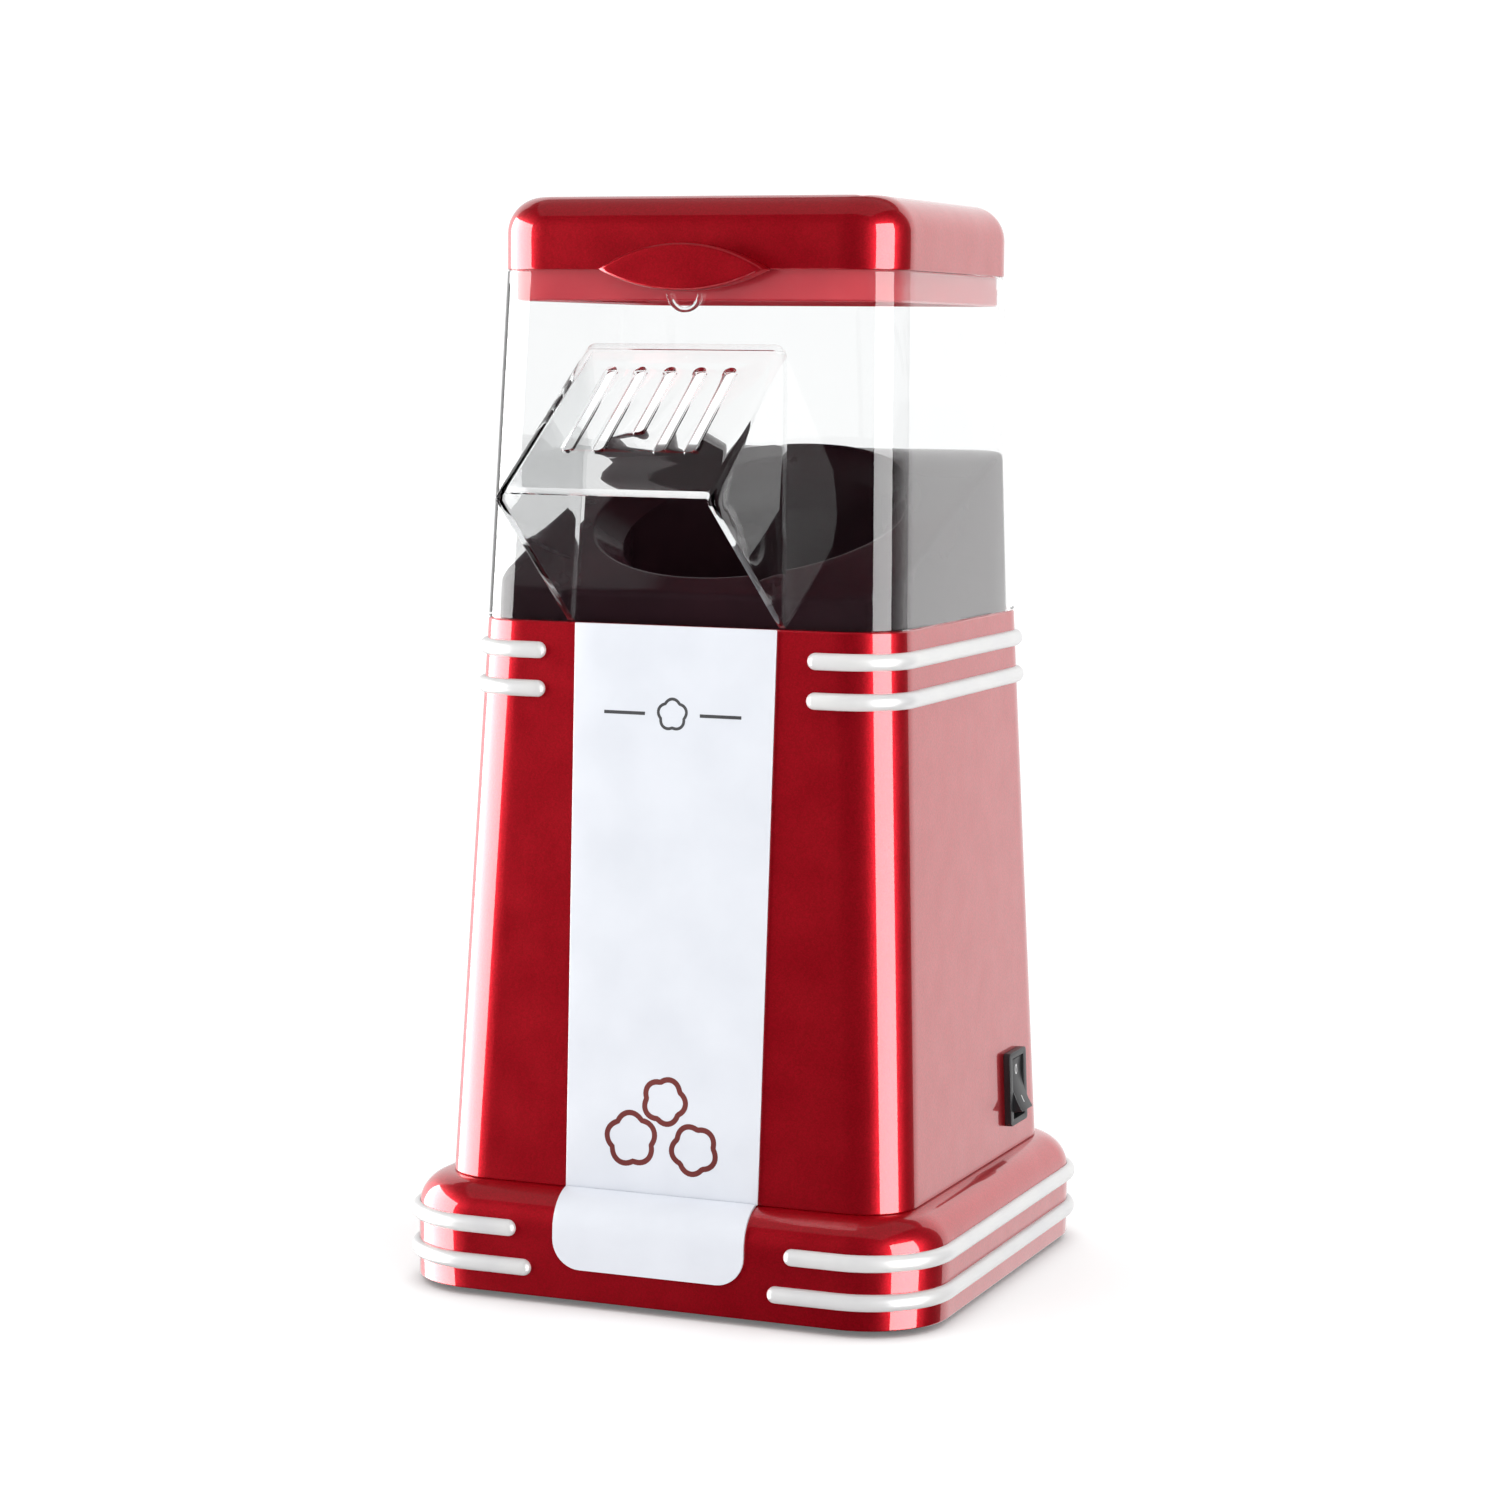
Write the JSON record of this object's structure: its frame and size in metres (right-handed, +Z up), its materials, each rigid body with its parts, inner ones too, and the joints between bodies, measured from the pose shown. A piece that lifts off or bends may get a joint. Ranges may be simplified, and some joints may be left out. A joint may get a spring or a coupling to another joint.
{
  "type": "popcorn maker",
  "caption": "Retro hot-air popcorn maker: red tapering body on a ribbed plinth, clear cover with a slotted chute hood, black funnel, lift-off lid and rocker switch.",
  "frame": {"origin": "on the table, under the middle of the plinth, on the axis of the fan and the popping chamber", "axes": "+Z up, -Y out of the front towards the person who uses it, +X towards the side with the switch"},
  "size_m": [0.159, 0.1824, 0.3],
  "materials": {
    "red_shell": "metallic candy red, high gloss, on moulded plastic",
    "red_skirt": "gloss red",
    "white_panel": "cool white, satin gloss",
    "silver_trim": "satin silver plated plastic",
    "clear_plastic": "clear polycarbonate",
    "funnel_black": "gloss black with a warm tint",
    "switch_black": "fine matt black",
    "black_plastic": "matt black",
    "black_rubber": "matt rubber",
    "screw_steel": "zinc plated",
    "zinc_steel": "zinc plated sheet",
    "chamber_aluminium": "spun aluminium",
    "brass_lug": "tinned brass",
    "bronze": "sintered bronze",
    "copper_winding": "enamelled copper over laminations",
    "ferrite": "ferrite grey",
    "carbon": "carbon",
    "fan_plastic": "grey nylon",
    "ivory_plastic": "ivory nylon",
    "circuit_board": "green laminate",
    "diode_black": "black epoxy",
    "wire_sleeve": "glass fibre sleeve",
    "mica": "mica laminate",
    "heater_wire": "oxidised resistance wire",
    "ceramic_white": "glazed ceramic",
    "silicone_red": "silicone"
  },
  "bodies": {
    "root": {"rubber_feet": "black_rubber", "bottom_plate": "black_plastic", "base_screws": "screw_steel", "plinth_shell": "red_shell", "plinth_trim_lower": "silver_trim", "plinth_trim_upper": "silver_trim", "front_tongue": "white_panel", "body_shell": "red_shell", "body_screws": "screw_steel", "front_panel": "white_panel", "body_trim_lower": "silver_trim", "body_trim_upper": "silver_trim", "switch_housing": "switch_black", "switch_terminals": "brass_lug", "cord_gland": "black_rubber", "terminal_block": "ivory_plastic", "rectifier_board": "circuit_board", "rectifier_diodes": "diode_black", "lead_wires": "wire_sleeve", "motor_can": "zinc_steel", "motor_magnets": "ferrite", "motor_bushes": "bronze", "motor_brushes": "carbon", "motor_bracket": "zinc_steel", "motor_grommets": "black_rubber", "motor_screws": "screw_steel", "bracket_screws": "screw_steel", "fan_housing": "black_plastic", "housing_screws": "screw_steel", "heater_housing": "zinc_steel", "heater_terminals": "brass_lug", "heater_former": "mica", "heater_coil": "heater_wire", "thermostat": "zinc_steel", "thermal_fuse": "ceramic_white", "top_deck": "black_plastic", "deck_screws": "screw_steel", "chamber_ring": "mica", "chamber_gasket": "silicone_red", "popping_chamber": "chamber_aluminium"},
    "cover": {"funnel_insert": "funnel_black", "window_cover": "clear_plastic", "chute_hood": "clear_plastic", "lid_catch": "clear_plastic"},
    "lid": {"lid_shell": "red_shell", "lid_skirt": "red_skirt"},
    "rocker": {"switch_rocker": "switch_black"},
    "fan": {"motor_rotor": "copper_winding", "motor_shaft": "zinc_steel", "fan_impeller": "fan_plastic"}
  },
  "joints": [
    {"name": "cover_lift", "type": "slide", "parent": "root", "child": "cover", "axis": [0, 0, 1], "range_m": [0, 0.12]},
    {"name": "lid_lift", "type": "slide", "parent": "cover", "child": "lid", "axis": [0, 0, 1], "range_m": [0, 0.06]},
    {"name": "switch_rock", "type": "hinge", "parent": "root", "child": "rocker", "pos_m": [0.06581, 0.0324, 0.04893], "axis": [0, 1, 0], "range_deg": [0, 24]},
    {"name": "fan_spin", "type": "hinge", "parent": "root", "child": "fan", "pos_m": [0, 0, 0.05], "axis": [0, 0, 1], "continuous": true}
  ]
}
